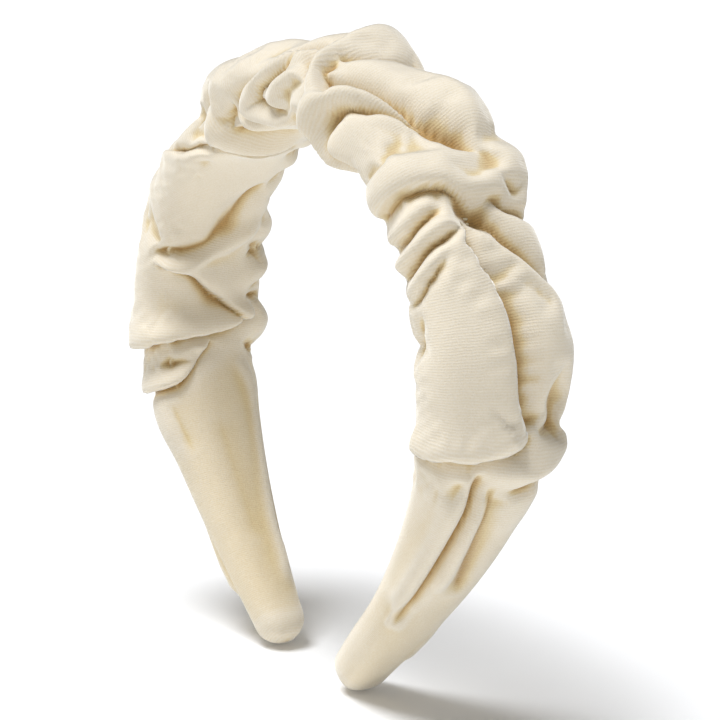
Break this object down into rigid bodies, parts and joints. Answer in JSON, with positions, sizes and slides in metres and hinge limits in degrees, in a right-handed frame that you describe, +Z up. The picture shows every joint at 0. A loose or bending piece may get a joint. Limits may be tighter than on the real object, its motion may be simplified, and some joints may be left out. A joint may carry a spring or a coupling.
{
  "type": "knotted headband",
  "caption": "C-shaped hard hair band with sponge padding under a gathered ivory velvet cover, knotted at the crown; its two springy arms open to go over the head.",
  "frame": {"origin": "midway between the two tips, on the surface that they stand on", "axes": "+X across the head from the left arm to the right arm, +Y from the front edge to the back edge, +Z up to the knot at the crown"},
  "size_m": [0.1464, 0.038, 0.1555],
  "materials": {
    "core_plastic": "moulded polypropylene, satin",
    "adhesive_tape": "thin double-sided tape",
    "sponge": "fine open-cell sponge",
    "velvet": "ribbed stretch velvet, ivory",
    "thread": "matt polyester sewing thread",
    "glue": "hot-melt glue"
  },
  "bodies": {
    "crown": {"core_crown": "core_plastic", "tape_crown": "adhesive_tape", "foam_crown": "sponge", "cover_crown": "velvet", "seam_stitches_crown": "thread", "knot_wrap": "velvet", "knot_tack_stitches": "thread", "shoulder_tack_stitches": "thread"},
    "left_arm": {"core_left_arm": "core_plastic", "tape_left_arm": "adhesive_tape", "foam_left_arm": "sponge", "cover_left_arm": "velvet", "seam_stitches_left_arm": "thread", "tip_glue_left": "glue"},
    "right_arm": {"core_right_arm": "core_plastic", "tape_right_arm": "adhesive_tape", "foam_right_arm": "sponge", "cover_right_arm": "velvet", "seam_stitches_right_arm": "thread", "tip_glue_right": "glue"}
  },
  "joints": [
    {"name": "left_flexure", "type": "hinge", "parent": "crown", "child": "left_arm", "pos_m": [-0.04993, 0, 0.11237], "axis": [0, 1, 0], "range_deg": [0, 16], "stiffness_Nm_per_rad": 0.5},
    {"name": "right_flexure", "type": "hinge", "parent": "crown", "child": "right_arm", "pos_m": [0.04993, 0, 0.11237], "axis": [0, -1, 0], "range_deg": [0, 16], "stiffness_Nm_per_rad": 0.5}
  ]
}
